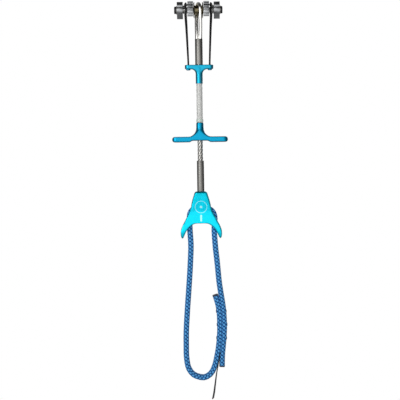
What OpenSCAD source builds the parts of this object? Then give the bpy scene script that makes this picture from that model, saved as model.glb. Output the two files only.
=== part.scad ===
// Spring-loaded camming device for rock climbing: four toothed lobes on one axle, a single wire-rope
// stem, a trigger that draws the lobes in, a thumb press and a sewn webbing sling.
// Millimetres. +Z up, X along the axle, origin at the axle's centre. The inner lobes' tips point to -Y.

/* [Axle and lobes] */
// Radius of the axle
axle_r = 2; // [1.8:0.05:2.1]
// Largest radius of a lobe, at its tip
lobe_tip_r = 10.5; // [10:0.1:10.8]
// Cam angle of the logarithmic spiral, in degrees
cam_angle = 13.75; // [13:0.05:14.5]
// Angle of the lobe's tip below the horizontal when the lobes are open
lobe_tip_angle = 30; // [26:1:32]
// Radius of a lobe's hub
lobe_hub_r = 3.2; // [3:0.05:3.25]
// Width of an inner lobe along the axle
inner_lobe_w = 4.2; // [4:0.05:4.25]
// Width of an outer lobe along the axle
outer_lobe_w = 4.5; // [4.2:0.05:4.6]
// Width of the gap between an inner and an outer lobe, which holds a spring
spring_gap = 3.5; // [3.4:0.05:3.6]
// Angle that a lobe turns through from open to closed
lobe_travel = 80; // [70:1:84]
// Distance from the axle to the post that holds a trigger cord
post_reach = 5.2; // [5.1:0.05:5.3]

/* [Stem] */
// Radius of the wire-rope stem
rope_r = 2.05; // [2:0.01:2.06]
// Radius of the upper ferrule
upper_ferrule_r = 2.85; // [2.8:0.05:3]
// Radius of the lower ferrule
lower_ferrule_r = 2.65; // [2.5:0.05:2.8]
// Radius of the wire that loops over the axle
loop_wire_r = 1.33; // [1.2:0.01:1.35]

/* [Trigger] */
// Overall length of the trigger bar
trigger_w = 42; // [38:1:46]
// Depth of the trigger bar, front to back
trigger_depth = 6.4; // [6.2:0.1:7]
// Overall length of the upper collar
collar_w = 21.4; // [20.6:0.2:22]
// Outer radius of the clear sleeve
sleeve_r = 2.32; // [2.3:0.01:2.36]
// Radius of a trigger cord
cord_r = 0.55; // [0.4:0.05:0.55]

/* [Press and sling] */
// Half the depth of the thumb press at its saddle
press_half_depth = 8.3; // [7.6:0.1:9]
// Width of the sling's webbing
strap_w = 10; // [9:0.1:10.4]
// Thickness of the sling's webbing
strap_t = 3.2; // [2.8:0.1:3.2]

/* [Hidden] */
$fn = 64;

// Places along the axle, from the centre outwards
spool_half_w = 3.7;
inner_lobe_x = spool_half_w + 0.2;
inner_face_x = inner_lobe_x + inner_lobe_w;
outer_lobe_x = inner_face_x + spring_gap;
washer_x = outer_lobe_x + outer_lobe_w + 0.1;
washer_t = 0.5;
cap_x = washer_x + washer_t + 0.05;
cap_t = 1.4;
cap_r = 2.8;
axle_end_x = cap_x + 0.8;

// Lobe shape
running_gap = 0.05;
spiral_k = tan(cam_angle) * PI / 180;
spiral_top = 108;
spiral_step = 6;
groove_r = 0.5;
groove_pitch = 16;
groove_first = -20;
groove_last = 92;

// Cord posts
post_angle = lobe_travel / 2;
post_r = 0.7;
post_head_r = 1.25;
post_head_t = 0.35;
post_depth = 1.5;
post_y = post_reach * cos(post_angle);
post_z = post_reach * sin(post_angle);
inner_cord_x = inner_face_x + 1.25;
outer_cord_x = outer_lobe_x - 1.5;
cord_eye_r = post_r + cord_r + 0.05;
cord_side_gap = 0.1;

// Torsion springs
spring_wire_r = 0.3;
spring_mean_r = axle_r + 0.3 + spring_wire_r;
spring_turns = 4;
spring_leg = 2.8;

// Spool and loop
spool_core_r = 3.3;
spool_flange_r = 6.2;
spool_groove_half = 2.9;
loop_r = spool_core_r + loop_wire_r + 0.1;
loop_side = 1.35;

// Heights along the stem
upper_ferrule_top = -21.75;
upper_ferrule_bottom = -41.05;
rope_top = -28;
rope_bottom = -135;
collar_top = -41.15;
wing_bottom = -44.3;
collar_bottom = -55.4;
sleeve_top = -47;
sleeve_bottom = -97.6;
sleeve_wall = 0.2;
bar_neck_top = -84.15;
bar_top = -95;
bar_bottom = -98;
pad_bottom = -99.1;
lower_ferrule_top = -113;
lower_ferrule_bottom = -141;
press_top = -136;
saddle_top = -150.75;
saddle_bottom = -160;
tunnel_top = -147.1;
press_bottom = -171.5;

// Trigger cord holes in the collar
cord_hole_x = 8.05;
cord_hole_r = 1.3;
stop_r = 2.65;
cord_pair_y = 0.65;

// Routes, as centre points. A cord's run starts at the end of its eye, on the -Y side: each point gives the
// share of the way across to its hole in the collar, then how far back and up it is from the start.
CORD_RUN = [[0, 0, -3], [0.12, 0.5, -8], [0.38, 1.6, -16], [0.68, 3.2, -28]];

// The webbing over the saddle, from left to right
BIGHT = [
    [-8.7, 0, -160], [-8.8, 0, -156], [-8.2, 0, -152.3], [-6.5, 0, -149.8], [-4, 0, -149.05],
    [0, 0, -149], [4, 0, -149.05], [7, 0, -149.8], [9.3, 0, -152.3], [10.2, 0, -156], [10, 0, -160]
];
// The left strand, down, round the bottom and up to the inner layer's cut end
STRAND_LEFT = [
    [-8.7, 0, -160], [-8.5, 0, -166], [-8, 0, -177], [-8.8, 0, -193], [-10, 0, -209],
    [-11.3, 0, -225], [-12.3, 0, -240], [-12.5, 0, -251], [-12.4, 0, -260], [-11, 0, -268],
    [-7.2, 0, -273.2], [-1, 0, -275.4], [3.3, 0, -274.4], [6.7, 0, -271.2], [8.8, 0, -266.5],
    [10.2, 0, -261], [11.4, 0, -255], [12.2, 0, -249], [12.8, 0, -242], [12.9, 0, -236],
    [12.8, 0, -230], [12.3, 0, -224], [11.2, 0, -219], [9.6, 0, -213.5]
];
// The right strand, down to the outer layer's cut end
STRAND_RIGHT = [
    [10, 0, -160], [9.7, 0, -166], [10.3, 0, -177], [11.6, 0, -190], [12.7, 0, -203],
    [13.9, 0, -212], [15.1, 0, -220], [15.9, 0, -228], [16.2, 0, -237], [15.8, 0, -245],
    [15.1, 0, -252], [14.4, 0, -259], [14.1, 0, -267.5]
];
// The label, from between the layers down to its free end
LABEL = [
    [12.9, 0, -256], [12.15, 0, -261], [11.1, 0, -267], [9.9, 0, -273], [8.9, 0, -280],
    [7.9, 0, -287], [7, 0, -291.4]
];
TACK_HEIGHTS = [-226, -236, -246];

// ---- Helpers

// A point on a lobe's spiral, at an angle above the horizontal, as [towards the tip, up]
function spiral(a) = lobe_tip_r * exp(-spiral_k * (a + lobe_tip_angle)) * [cos(a), sin(a)];

// A round cross-section
function round_section(r, sides) = [for (i = [0:sides - 1]) r * [cos(360 * i / sides), sin(360 * i / sides)]];

// A flat cross-section of thickness t and width w, with corners cut by c
function flat_section(t, w, c) = [
    [t / 2, c - w / 2], [t / 2, w / 2 - c], [t / 2 - c, w / 2], [c - t / 2, w / 2],
    [-t / 2, w / 2 - c], [-t / 2, c - w / 2], [c - t / 2, -w / 2], [t / 2 - c, -w / 2]
];

function unit(v) = v / norm(v);
function heading(route, i) = unit(route[min(i + 1, len(route) - 1)] - route[max(i - 1, 0)]);

// The ring of points where a section stands square on a route
function ring(route, i, section, side) =
    let (t = heading(route, i), n = unit(cross(side, t)), b = cross(t, n))
    [for (p = section) route[i] + p[0] * n + p[1] * b];

// A closed solid: a section swept along a route. The route never runs along the vector side.
module sweep(route, section, side) {
    rings = len(route);
    n = len(section);
    points = [for (i = [0:rings - 1]) each ring(route, i, section, side)];
    walls = [for (i = [0:rings - 2], k = [0:n - 1])
        [i * n + k, (i + 1) * n + k, (i + 1) * n + (k + 1) % n, i * n + (k + 1) % n]];
    polyhedron(points, concat([[for (k = [0:n - 1]) k]], walls,
        [[for (k = [n - 1:-1:0]) (rings - 1) * n + k]]), convexity = 8);
}

// A cylinder along X from x0 to x1
module x_rod(x0, x1, r) {
    translate([x0, 0, 0]) rotate([0, 90, 0]) cylinder(h = x1 - x0, r = r);
}

// A ring or tube along Z between two heights
module tube(z0, z1, outer, inner) {
    difference() {
        translate([0, 0, z0]) cylinder(h = z1 - z0, r = outer);
        translate([0, 0, z0 - 1]) cylinder(h = z1 - z0 + 2, r = inner);
    }
}

// An outline in X and Z, given a depth along Y and centred on Y = 0
module front_plate(outline, depth) {
    translate([0, depth / 2, 0]) rotate([90, 0, 0]) linear_extrude(depth) polygon(outline);
}

// A flare turned round Z from the right half of its outline, with flats front and back at a depth
module turned_web(half, depth) {
    intersection() {
        rotate_extrude() polygon(half);
        cube([100, depth, 400], center = true);
    }
}

// The right half of an outline, closed by its mirror image
function both_sides(half) = concat(half, [for (i = [len(half) - 1:-1:0]) [-half[i][0], half[i][1]]]);

// Points of an arc, from angle a0 to angle a1
function arc(c, r, a0, a1, steps = 6) =
    [for (i = [0:steps]) let (a = a0 + (a1 - a0) * i / steps) c + r * [cos(a), sin(a)]];

// Swaps left for right where side is -1
module on_side(side) {
    if (side > 0) children();
    else mirror([1, 0, 0]) children();
}

// Turns a part made for tips at -Y to tips at +Y where outer is true
module facing(outer) {
    if (outer) mirror([0, 1, 0]) children();
    else children();
}

// ---- Head

module axle() {
    color("dimgray") x_rod(-axle_end_x, axle_end_x, axle_r);
}

module axle_cap() {
    dome = 0.35;
    color([0.06, 0.06, 0.07]) difference() {
        union() {
            x_rod(cap_x, cap_x + cap_t - dome, cap_r);
            translate([cap_x + cap_t - dome, 0, 0]) rotate([0, 90, 0])
                cylinder(h = dome, r1 = cap_r, r2 = cap_r - 0.5);
        }
        x_rod(cap_x - 1, axle_end_x, axle_r);
    }
}

module axle_washers() {
    color("gray") for (side = [-1, 1]) on_side(side) difference() {
        x_rod(washer_x, washer_x + washer_t, lobe_hub_r);
        x_rod(washer_x - 1, washer_x + washer_t + 1, axle_r);
    }
}

module spool() {
    shoulder = spool_half_w - spool_groove_half;
    profile = [
        [axle_r, -spool_half_w], [4.6, -spool_half_w], [5.5, -spool_half_w + 0.15],
        [spool_flange_r - 0.15, -spool_groove_half - 0.3], [spool_flange_r, -spool_groove_half],
        [spool_core_r + 0.5, -spool_groove_half], [spool_core_r, -spool_groove_half + 0.5],
        [spool_core_r, spool_groove_half - 0.5], [spool_core_r + 0.5, spool_groove_half],
        [spool_flange_r, spool_groove_half], [spool_flange_r - 0.15, spool_groove_half + 0.3],
        [5.5, spool_half_w - 0.15], [4.6, spool_half_w], [axle_r, spool_half_w]
    ];
    color([0.29, 0.25, 0.16]) rotate([0, 90, 0]) rotate_extrude() polygon(profile);
}

// A wire up the front of the spool, over it and down its back, with both ends side by side below
module head_loop() {
    ferrule_x = 1.35;
    leg = [[ferrule_x, 0, -26.5], [ferrule_x, 0, -22], [ferrule_x + 0.05, -0.7, -18],
        [1.5, -2.1, -13], [1.5, -3.6, -8], [loop_side, -4.5, -3.6]];
    over = [for (i = [0:12]) let (a = -14 + 208 * i / 12)
        [loop_side * cos(180 * i / 12), -loop_r * cos(a), loop_r * sin(a)]];
    back = [for (i = [len(leg) - 1:-1:0]) [-leg[i][0], -leg[i][1], leg[i][2]]];
    color("silver") sweep(concat(leg, over, back), round_section(loop_wire_r, 12), [1, 0, 0]);
}

module lobe_body(x0, w) {
    outline = concat(
        [[0, -lobe_hub_r], [2.8, -3.6], [5.6, -4.9], [8, -5.7], [8.8, -5.65]],
        [for (a = [-lobe_tip_angle:spiral_step:spiral_top]) spiral(a)],
        [[-2.9, 3.4]]);
    difference() {
        union() {
            translate([x0, 0, 0]) rotate([90, 0, 90]) linear_extrude(w) mirror([1, 0]) polygon(outline);
            x_rod(x0, x0 + w, lobe_hub_r);
        }
        x_rod(x0 - 1, x0 + w + 1, axle_r + running_gap);
        for (a = [groove_first:groove_pitch:groove_last])
            translate([0, -spiral(a)[0], spiral(a)[1]]) x_rod(x0 - 1, x0 + w + 1, groove_r);
    }
}

module lobe(side, outer) {
    x0 = outer ? outer_lobe_x : inner_lobe_x;
    w = outer ? outer_lobe_w : inner_lobe_w;
    seat_x = outer ? outer_lobe_x - 1 : inner_face_x - post_depth;
    color([0.68, 0.69, 0.71]) on_side(side) facing(outer) difference() {
        lobe_body(x0, w);
        translate([0, -post_y, post_z]) x_rod(seat_x, seat_x + post_depth + 1, post_r);
    }
}

module post(side, outer) {
    foot = outer ? outer_lobe_x + post_depth : inner_face_x - post_depth;
    head = outer ? outer_cord_x - cord_r - cord_side_gap : inner_cord_x + cord_r + cord_side_gap;
    tip = outer ? head - post_head_t : head + post_head_t;
    color("gray") on_side(side) facing(outer) translate([0, -post_y, post_z]) {
        x_rod(min(foot, head), max(foot, head), post_r);
        x_rod(min(head, tip), max(head, tip), post_head_r);
    }
}

// A torsion spring on the axle, with a short leg at each end
module spring(side) {
    first = inner_face_x + 0.15 + spring_wire_r;
    last = outer_lobe_x - 0.15 - spring_wire_r;
    steps = 12 * spring_turns;
    coil = [for (i = [0:steps]) let (a = 270 - 360 * spring_turns * i / steps)
        [first + (last - first) * i / steps, spring_mean_r * cos(a), spring_mean_r * sin(a)]];
    leg_in = [[first, -spring_leg, -spring_mean_r]];
    leg_out = [[last, spring_leg, -spring_mean_r]];
    color("silver") on_side(side)
        sweep(concat(leg_in, coil, leg_out), round_section(spring_wire_r, 8), [1, 0, 0]);
}

// ---- Stem

module upper_ferrule() {
    socket_r = loop_wire_r + 0.03;
    color([0.45, 0.45, 0.45]) difference() {
        translate([0, 0, upper_ferrule_bottom])
            cylinder(h = upper_ferrule_top - upper_ferrule_bottom, r = upper_ferrule_r);
        translate([0, 0, upper_ferrule_bottom - 1])
            cylinder(h = rope_top - upper_ferrule_bottom + 1, r = rope_r);
        for (x = [-1.35, 1.35]) translate([x, 0, -26.6]) cylinder(h = 10, r = socket_r);
    }
}

module stem_rope() {
    color("lightgray") translate([0, 0, rope_bottom]) cylinder(h = rope_top - rope_bottom, r = rope_r);
}

module lower_ferrule() {
    bore_bottom = rope_bottom - 0.5;
    color([0.45, 0.45, 0.45]) difference() {
        translate([0, 0, lower_ferrule_bottom])
            cylinder(h = lower_ferrule_top - lower_ferrule_bottom, r = lower_ferrule_r);
        translate([0, 0, bore_bottom])
            cylinder(h = lower_ferrule_top - bore_bottom + 1, r = rope_r + running_gap);
    }
}

// ---- Trigger

module collar() {
    wing_r = 2.5;
    tube_r = 2.65;
    fillet_r = 3.6;
    wing_h = collar_top - wing_bottom;
    web = concat([[0, wing_bottom + 1], [tube_r + fillet_r, wing_bottom + 1]],
        arc([tube_r + fillet_r, wing_bottom - fillet_r], fillet_r, 90, 180),
        [[0, wing_bottom - fillet_r]]);
    color([0.05, 0.62, 0.82]) difference() {
        union() {
            translate([0, 0, wing_bottom]) linear_extrude(wing_h) {
                square([collar_w - 2 * wing_r, 2 * wing_r], center = true);
                for (side = [-1, 1]) translate([side * (collar_w / 2 - wing_r), 0]) circle(r = wing_r);
            }
            translate([0, 0, collar_bottom]) cylinder(h = wing_bottom - collar_bottom + 1, r = tube_r);
            turned_web(web, 2 * wing_r);
        }
        translate([0, 0, collar_bottom - 1])
            cylinder(h = collar_top - collar_bottom + 2, r = rope_r + running_gap);
        translate([0, 0, collar_bottom - 1])
            cylinder(h = sleeve_top - collar_bottom + 1, r = sleeve_r);
        for (side = [-1, 1]) translate([side * cord_hole_x, 0, wing_bottom - 1])
            cylinder(h = wing_h + 2, r = cord_hole_r);
    }
}

// The crimped stops under the collar that both cords of a side end in
module cord_stops() {
    color([0.08, 0.5, 0.66]) for (side = [-1, 1]) translate([side * cord_hole_x, 0, wing_bottom - 0.9]) {
        cylinder(h = 0.3, r1 = 1.3, r2 = 1.6);
        translate([0, 0, 0.3]) cylinder(h = 0.6, r = 1.6);
    }
}

module sleeve() {
    color([0.85, 0.9, 0.9, 0.5]) tube(sleeve_bottom, sleeve_top, sleeve_r, sleeve_r - sleeve_wall);
}

module sleeve_ring() {
    color([0.86, 0.92, 0.86]) tube(bar_neck_top + 0.05, bar_neck_top + 2.3, 2.6, sleeve_r);
}

module sleeve_stop() {
    color("gray") tube(bar_bottom + 0.2, bar_bottom + 2, stop_r, sleeve_r);
}

// A trigger cord: an eye round the lobe's post, then down to the collar
module cord(side, outer) {
    x = outer ? outer_cord_x : inner_cord_x;
    top = [x, -post_y, post_z];
    eye = [for (a = [-30:35:180]) top + cord_eye_r * [0, cos(a), sin(a)]];
    start = top - [0, cord_eye_r, 0];
    run = [for (p = CORD_RUN) start + [p[0] * (cord_hole_x - x), p[1], p[2]]];
    foot = [for (z = [-39, wing_bottom]) [cord_hole_x, -cord_pair_y, z]];
    color([0.03, 0.03, 0.03]) on_side(side) facing(outer)
        sweep(concat(eye, [start], run, foot), round_section(cord_r, 8), [1, 0, 0]);
}

module trigger_bar() {
    neck_r = 2.8;
    chamfer = 0.6;
    end_r = 1.8;
    half = trigger_w / 2;
    flare_r = 6.8;
    flare = arc([neck_r + flare_r, bar_top + flare_r - 0.2], flare_r, 180, 268, 8);
    bar = both_sides(concat([[0, bar_bottom], [5.8, bar_bottom], [6.6, bar_bottom - 0.35],
        [7.6, pad_bottom]], arc([half - end_r, pad_bottom + end_r], end_r, -90, 0),
        arc([half - end_r, bar_top - end_r], end_r, 0, 90), [[0, bar_top]]));
    color([0.02, 0.5, 0.78]) difference() {
        union() {
            translate([0, 0, bar_top]) cylinder(h = bar_neck_top - chamfer - bar_top, r = neck_r);
            translate([0, 0, bar_neck_top - chamfer])
                cylinder(h = chamfer, r1 = neck_r, r2 = neck_r - chamfer / 2);
            turned_web(concat([[0, bar_top + flare_r]], flare, [[0, bar_top - 1]]), trigger_depth);
            intersection() {
                front_plate(bar, trigger_depth);
                translate([0, 0, pad_bottom - 1]) linear_extrude(bar_top - pad_bottom + 2) {
                    square([trigger_w - trigger_depth, trigger_depth], center = true);
                    for (side = [-1, 1]) translate([side * (half - trigger_depth / 2), 0])
                        circle(d = trigger_depth);
                }
            }
        }
        translate([0, 0, pad_bottom]) cylinder(h = bar_neck_top - pad_bottom + 1, r = sleeve_r);
        translate([0, 0, pad_bottom]) cylinder(h = bar_bottom + 2 - pad_bottom, r = stop_r);
    }
}

// ---- Press and sling

module thumb_press() {
    front = both_sides(concat(
        [[0, press_top]], arc([3.2, press_top - 1.7], 1.7, 90, 15, 4),
        [[6.4, -142.3], [7.4, -146.4], [8.35, -150.75], [10.5, -154.8], [12.5, -158.6],
         [14.2, -161.8], [15.2, -164.6], [15.5, -167.4], [15.3, -169.6], [14.8, -170.9],
         [14.1, -171.4], [13.4, -170.8], [12.8, -169.2], [11.6, -166.5], [10.2, -164.3],
         [8.5, -162.5], [6.9, -161.2], [5, -160.2], [3.2, saddle_bottom], [0, saddle_bottom]]));
    side_view = both_sides([[0, press_top], [3.5, press_top], [4.4, press_top - 0.9],
        [7.3, saddle_top], [8.1, -161], [press_half_depth, -166],
        [7.7, -170], [7, press_bottom], [0, press_bottom]]);
    slot_half = strap_w / 2 + 0.3;
    bar_half = 6.3;
    bar_corner = 2.5;
    bar = both_sides(concat([[0, saddle_top]],
        arc([bar_half - bar_corner, saddle_top - bar_corner], bar_corner, 90, 0),
        [[bar_half, press_bottom - 1], [0, press_bottom - 1]]));
    tunnel = both_sides([[0, tunnel_top], [20, tunnel_top], [20, press_bottom - 1], [0, press_bottom - 1]]);
    color([0.03, 0.75, 0.86]) difference() {
        intersection() {
            front_plate(front, 2 * press_half_depth + 2);
            translate([-20, 0, 0]) rotate([90, 0, 90]) linear_extrude(40) polygon(side_view);
        }
        difference() {
            front_plate(tunnel, 2 * slot_half);
            front_plate(bar, 2 * slot_half + 2);
        }
        translate([0, 0, lower_ferrule_bottom - 0.2])
            cylinder(h = press_top - lower_ferrule_bottom + 1, r = lower_ferrule_r);
    }
}

module strap(route) {
    color([0.12, 0.42, 0.72]) sweep(route, flat_section(strap_t, strap_w, 0.7), [0, 1, 0]);
}

module sling_bight() {
    strap(BIGHT);
}

module sling_left() {
    strap(STRAND_LEFT);
}

module sling_right() {
    strap(STRAND_RIGHT);
}

// Bar tacks sewn through both layers of the lap
module sling_tacks() {
    tack = [7.1, 7.5, 1.6];
    lap_x = 14.45;
    color([0.1, 0.25, 0.5]) for (z = TACK_HEIGHTS) translate([lap_x, 0, z]) cube(tack, center = true);
}

module sling_label() {
    color([0.05, 0.05, 0.05]) sweep(LABEL, flat_section(0.5, strap_w, 0.1), [0, 1, 0]);
}

axle();
on_side(-1) axle_cap();  // axle_cap_left
on_side(1) axle_cap();  // axle_cap_right
axle_washers();
spool();
head_loop();
spring(-1);  // spring_left
spring(1);  // spring_right
lobe(-1, false);  // lobe_inner_left
lobe(1, false);  // lobe_inner_right
lobe(-1, true);  // lobe_outer_left
lobe(1, true);  // lobe_outer_right
post(-1, false);  // post_inner_left
post(1, false);  // post_inner_right
post(-1, true);  // post_outer_left
post(1, true);  // post_outer_right
upper_ferrule();
stem_rope();
collar();
cord_stops();
sleeve();
sleeve_ring();
sleeve_stop();
cord(-1, false);  // cord_inner_left
cord(1, false);  // cord_inner_right
cord(-1, true);  // cord_outer_left
cord(1, true);  // cord_outer_right
trigger_bar();
lower_ferrule();
thumb_press();
sling_bight();
sling_left();
sling_right();
sling_tacks();
sling_label();
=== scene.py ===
"""Looks of a single-stem climbing cam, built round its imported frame.

Metal parts are softened or bevelled copies of the frame's own parts. The wire rope, springs, cords and
webbing are swept afresh along their routes. Routes and small sizes are in millimetres.
"""

import math

import bmesh
import bpy
from bpy.props import FloatProperty, FloatVectorProperty, IntProperty, PointerProperty
from bpy.types import Operator, Panel, PropertyGroup
from mathutils import Matrix, Vector


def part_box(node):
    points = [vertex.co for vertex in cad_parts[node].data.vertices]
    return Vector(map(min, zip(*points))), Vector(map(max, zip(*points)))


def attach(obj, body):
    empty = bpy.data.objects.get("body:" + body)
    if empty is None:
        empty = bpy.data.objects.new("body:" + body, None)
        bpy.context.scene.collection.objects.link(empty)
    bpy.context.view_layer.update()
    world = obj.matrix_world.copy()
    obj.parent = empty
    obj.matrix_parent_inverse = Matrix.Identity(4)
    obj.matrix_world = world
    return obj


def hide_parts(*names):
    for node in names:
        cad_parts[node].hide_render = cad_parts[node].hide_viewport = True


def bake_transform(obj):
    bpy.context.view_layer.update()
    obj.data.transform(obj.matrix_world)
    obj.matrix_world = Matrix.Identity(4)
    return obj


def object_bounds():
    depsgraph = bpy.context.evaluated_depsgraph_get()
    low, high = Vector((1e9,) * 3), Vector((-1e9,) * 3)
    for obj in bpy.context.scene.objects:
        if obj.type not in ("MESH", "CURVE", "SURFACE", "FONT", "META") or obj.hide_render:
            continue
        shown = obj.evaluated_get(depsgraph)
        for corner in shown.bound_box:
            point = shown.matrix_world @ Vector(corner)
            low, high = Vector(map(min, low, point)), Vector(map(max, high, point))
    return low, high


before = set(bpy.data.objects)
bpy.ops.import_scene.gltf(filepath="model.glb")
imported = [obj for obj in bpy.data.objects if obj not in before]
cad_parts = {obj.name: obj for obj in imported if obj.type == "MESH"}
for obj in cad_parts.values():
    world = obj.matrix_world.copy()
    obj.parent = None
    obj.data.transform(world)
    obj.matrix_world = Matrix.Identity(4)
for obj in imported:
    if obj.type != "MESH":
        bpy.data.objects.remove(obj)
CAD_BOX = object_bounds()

bl_info = {
    "name": "Climbing Cam",
    "version": (1, 0, 0),
    "blender": (4, 5, 0),
    "location": "3D View > Sidebar > Climbing Cam",
    "description": "Builds a spring-loaded climbing cam round its frame",
    "category": "Object",
}

MM = 0.001
TURN = 2 * math.pi
SIDES = {"left": -1, "right": 1}

# Routes in millimetres, as in the frame's source
BIGHT = [
    (-8.7, 0, -160), (-8.8, 0, -156), (-8.2, 0, -152.3), (-6.5, 0, -149.8), (-4, 0, -149.05),
    (0, 0, -149), (4, 0, -149.05), (7, 0, -149.8), (9.3, 0, -152.3), (10.2, 0, -156), (10, 0, -160),
]
STRAND_LEFT = [
    (-8.7, 0, -160), (-8.5, 0, -166), (-8, 0, -177), (-8.8, 0, -193), (-10, 0, -209),
    (-11.3, 0, -225), (-12.3, 0, -240), (-12.5, 0, -251), (-12.4, 0, -260), (-11, 0, -268),
    (-7.2, 0, -273.2), (-1, 0, -275.4), (3.3, 0, -274.4), (6.7, 0, -271.2), (8.8, 0, -266.5),
    (10.2, 0, -261), (11.4, 0, -255), (12.2, 0, -249), (12.8, 0, -242), (12.9, 0, -236),
    (12.8, 0, -230), (12.3, 0, -224), (11.2, 0, -219), (9.6, 0, -213.5),
]
STRAND_RIGHT = [
    (10, 0, -160), (9.7, 0, -166), (10.3, 0, -177), (11.6, 0, -190), (12.7, 0, -203),
    (13.9, 0, -212), (15.1, 0, -220), (15.9, 0, -228), (16.2, 0, -237), (15.8, 0, -245),
    (15.1, 0, -252), (14.4, 0, -259), (14.1, 0, -267.5),
]
LABEL = [
    (12.9, 0, -256), (12.15, 0, -261), (11.1, 0, -267), (9.9, 0, -273), (8.9, 0, -280),
    (7.9, 0, -287), (7, 0, -291.4),
]
# A trigger cord's run: the share of the way across to its hole, then how far back and up from its start
CORD_RUN = [(0, 0, -3), (0.12, 0.5, -8), (0.38, 1.6, -16), (0.68, 3.2, -28)]

# Fixed sizes in millimetres, as in the frame's source
STRAP_W = 10
CORD_HOLE_X = 8.05
LOOP_WIRE_R = 1.33
SPRING_WIRE_R = 0.3
SPRING_TURNS = 4
TACK_HEIGHTS = (-226, -236, -246)

# A trigger cord in millimetres: its radius, how far across its eye sits on an inner (1) or outer (-1) lobe,
# the eye's post and radius, and the cord's last points, back and up, in the collar's hole
CORD_R = 0.66
EYE_X = {1: 9.35, -1: 10.1}
POST_Y, POST_Z = -3.983, 3.342
EYE_R = 1.3
CORD_END = [(-0.65, -39), (-0.65, -44.3)]

# Springs in millimetres: mean radius of the turns, and length of a leg
SPRING_MEAN_R = 2.42
SPRING_LEG = 1.7

# Wire radii in a strand's radius
WIRE_FIT = 3.15

# Bar tacks in millimetres: width, half height, height above the webbing, and thread radius
TACK_W, TACK_HALF_H, TACK_PROUD, THREAD_R = 7, 0.75, 0.18, 0.24

# Marks on the press in millimetres: their centre below its top, the ring's radius and half width, the dot's
# radius, the bar's half width, half height and place below the centre, and where the front face begins
MARK_DOWN, RING_R, RING_HALF, DOT_R = 11.7, 4.4, 0.16, 0.9
BAR_HALF_W, BAR_HALF_H, BAR_DOWN, FRONT_Y = 0.65, 2.4, 8.3, -2

# Webbing: squareness of its section, mesh step along it, and how far its rows are turned round it
WEBBING_POWER = 4
RING_STEP = 0.36
WEAVE_TURN = {"right": 0.62, "bight": 0.62, "left": 0.25}
# A tuft: half its width and height, counted in tufts, and how far it slants
TUFT_HALF = (0.52, 0.37)
TUFT_SLANT = 0.12
# How far the label's section leans over by its end
LABEL_TWIST = 0.13

# Camera: focal length and sensor in millimetres, distance and sideways shift in metres, roll in degrees
LENS, SENSOR = 132, 36
CAMERA_AWAY, CAMERA_SHIFT, CAMERA_ROLL = 1.1, -0.0007, -0.8

# Soft lights: name, azimuth, elevation, distance, width, height, watts. Azimuth 0 is behind the camera.
LAMPS = [
    ("Key", -36, -4, 1.7, 0.45, 1.3, 9),
    ("Front", -6, 2, 1.9, 0.8, 0.5, 1.1),
    ("Upper", -14, 33, 1.9, 0.6, 0.35, 1.8),
    ("Back", 165, 10, 1.9, 1.2, 1.2, 6),
]
# Dark cards that only reflections see: name, azimuth, elevation, distance, width, height
CARDS = [
    ("Right card", 105, 0, 1.2, 1.1, 1.6),
    ("Left card", -100, 0, 1.3, 0.6, 1.6),
    ("Top card", 0, 75, 1.3, 2.2, 1.6),
]
# The tent's glow all round, and what is added to it on the wall behind the camera and to its left
GLOW, GLOW_FRONT = 0.24, 0.98


# ---- Sizes and colours a user would change

def length(name, text, mm):
    return FloatProperty(name=name, description=text, default=mm * MM, min=0,
                         subtype="DISTANCE", unit="LENGTH")


def colour(name, text, rgb):
    return FloatVectorProperty(name=name, description=text, default=rgb, min=0, max=1, size=3,
                               subtype="COLOR")


class CamSizes(PropertyGroup):
    rope_lay: length("Rope lay", "Length in which a strand of the stem rope goes once round", 18)
    strand_lay: length("Strand lay", "Length in which a wire goes once round its strand", 24)
    press_voxel: length("Press grain", "Mesh size of the softened thumb press", 0.4)
    trigger_voxel: length("Trigger grain", "Mesh size of the softened trigger bar and collar", 0.2)
    edge_round: length("Edge rounding", "Bevel on the turned and machined edges", 0.12)
    webbing_t: length("Webbing thickness", "Thickness of the tubular webbing", 3.9)
    tuft_pitch: length("Weave pitch", "Distance between the weave's tufts along the webbing", 2.7)
    tuft_w: length("Weave width", "Width of a row of tufts", 1.75)
    tuft_relief: length("Weave relief", "Height of the weave's tufts", 0.32)
    label_t: length("Label thickness", "Thickness of the woven label", 0.7)
    wires: IntProperty(name="Wires in a strand", description="Outer wires of each strand", default=6,
                       min=4, max=9)


class CamColours(PropertyGroup):
    press: colour("Press", "Anodised colour of the thumb press", (0.0, 0.6, 0.78))
    trigger: colour("Trigger", "Anodised colour of the trigger bar", (0.0, 0.28, 0.48))
    collar: colour("Collar", "Anodised colour of the upper collar", (0.01, 0.34, 0.52))
    # Webbing colours: the tufts' colour holds a painted highlight on their tops, the ground's a painted shade
    # between them
    tuft: colour("Webbing tufts", "Light yarn of the webbing", (0.12, 0.46, 0.92))
    ground: colour("Webbing ground", "Dark yarn of the webbing", (0.002, 0.07, 0.26))
    steel: colour("Steel", "Ferrules and axle", (0.26, 0.255, 0.24))
    alloy: colour("Lobe alloy", "Machined lobes", (0.4, 0.41, 0.42))
    bronze: colour("Bronze", "Spool on the axle", (0.2, 0.17, 0.1))


def sizes():
    return bpy.context.scene.cam_sizes


def colours():
    return bpy.context.scene.cam_colours


# ---- Node trees

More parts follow.
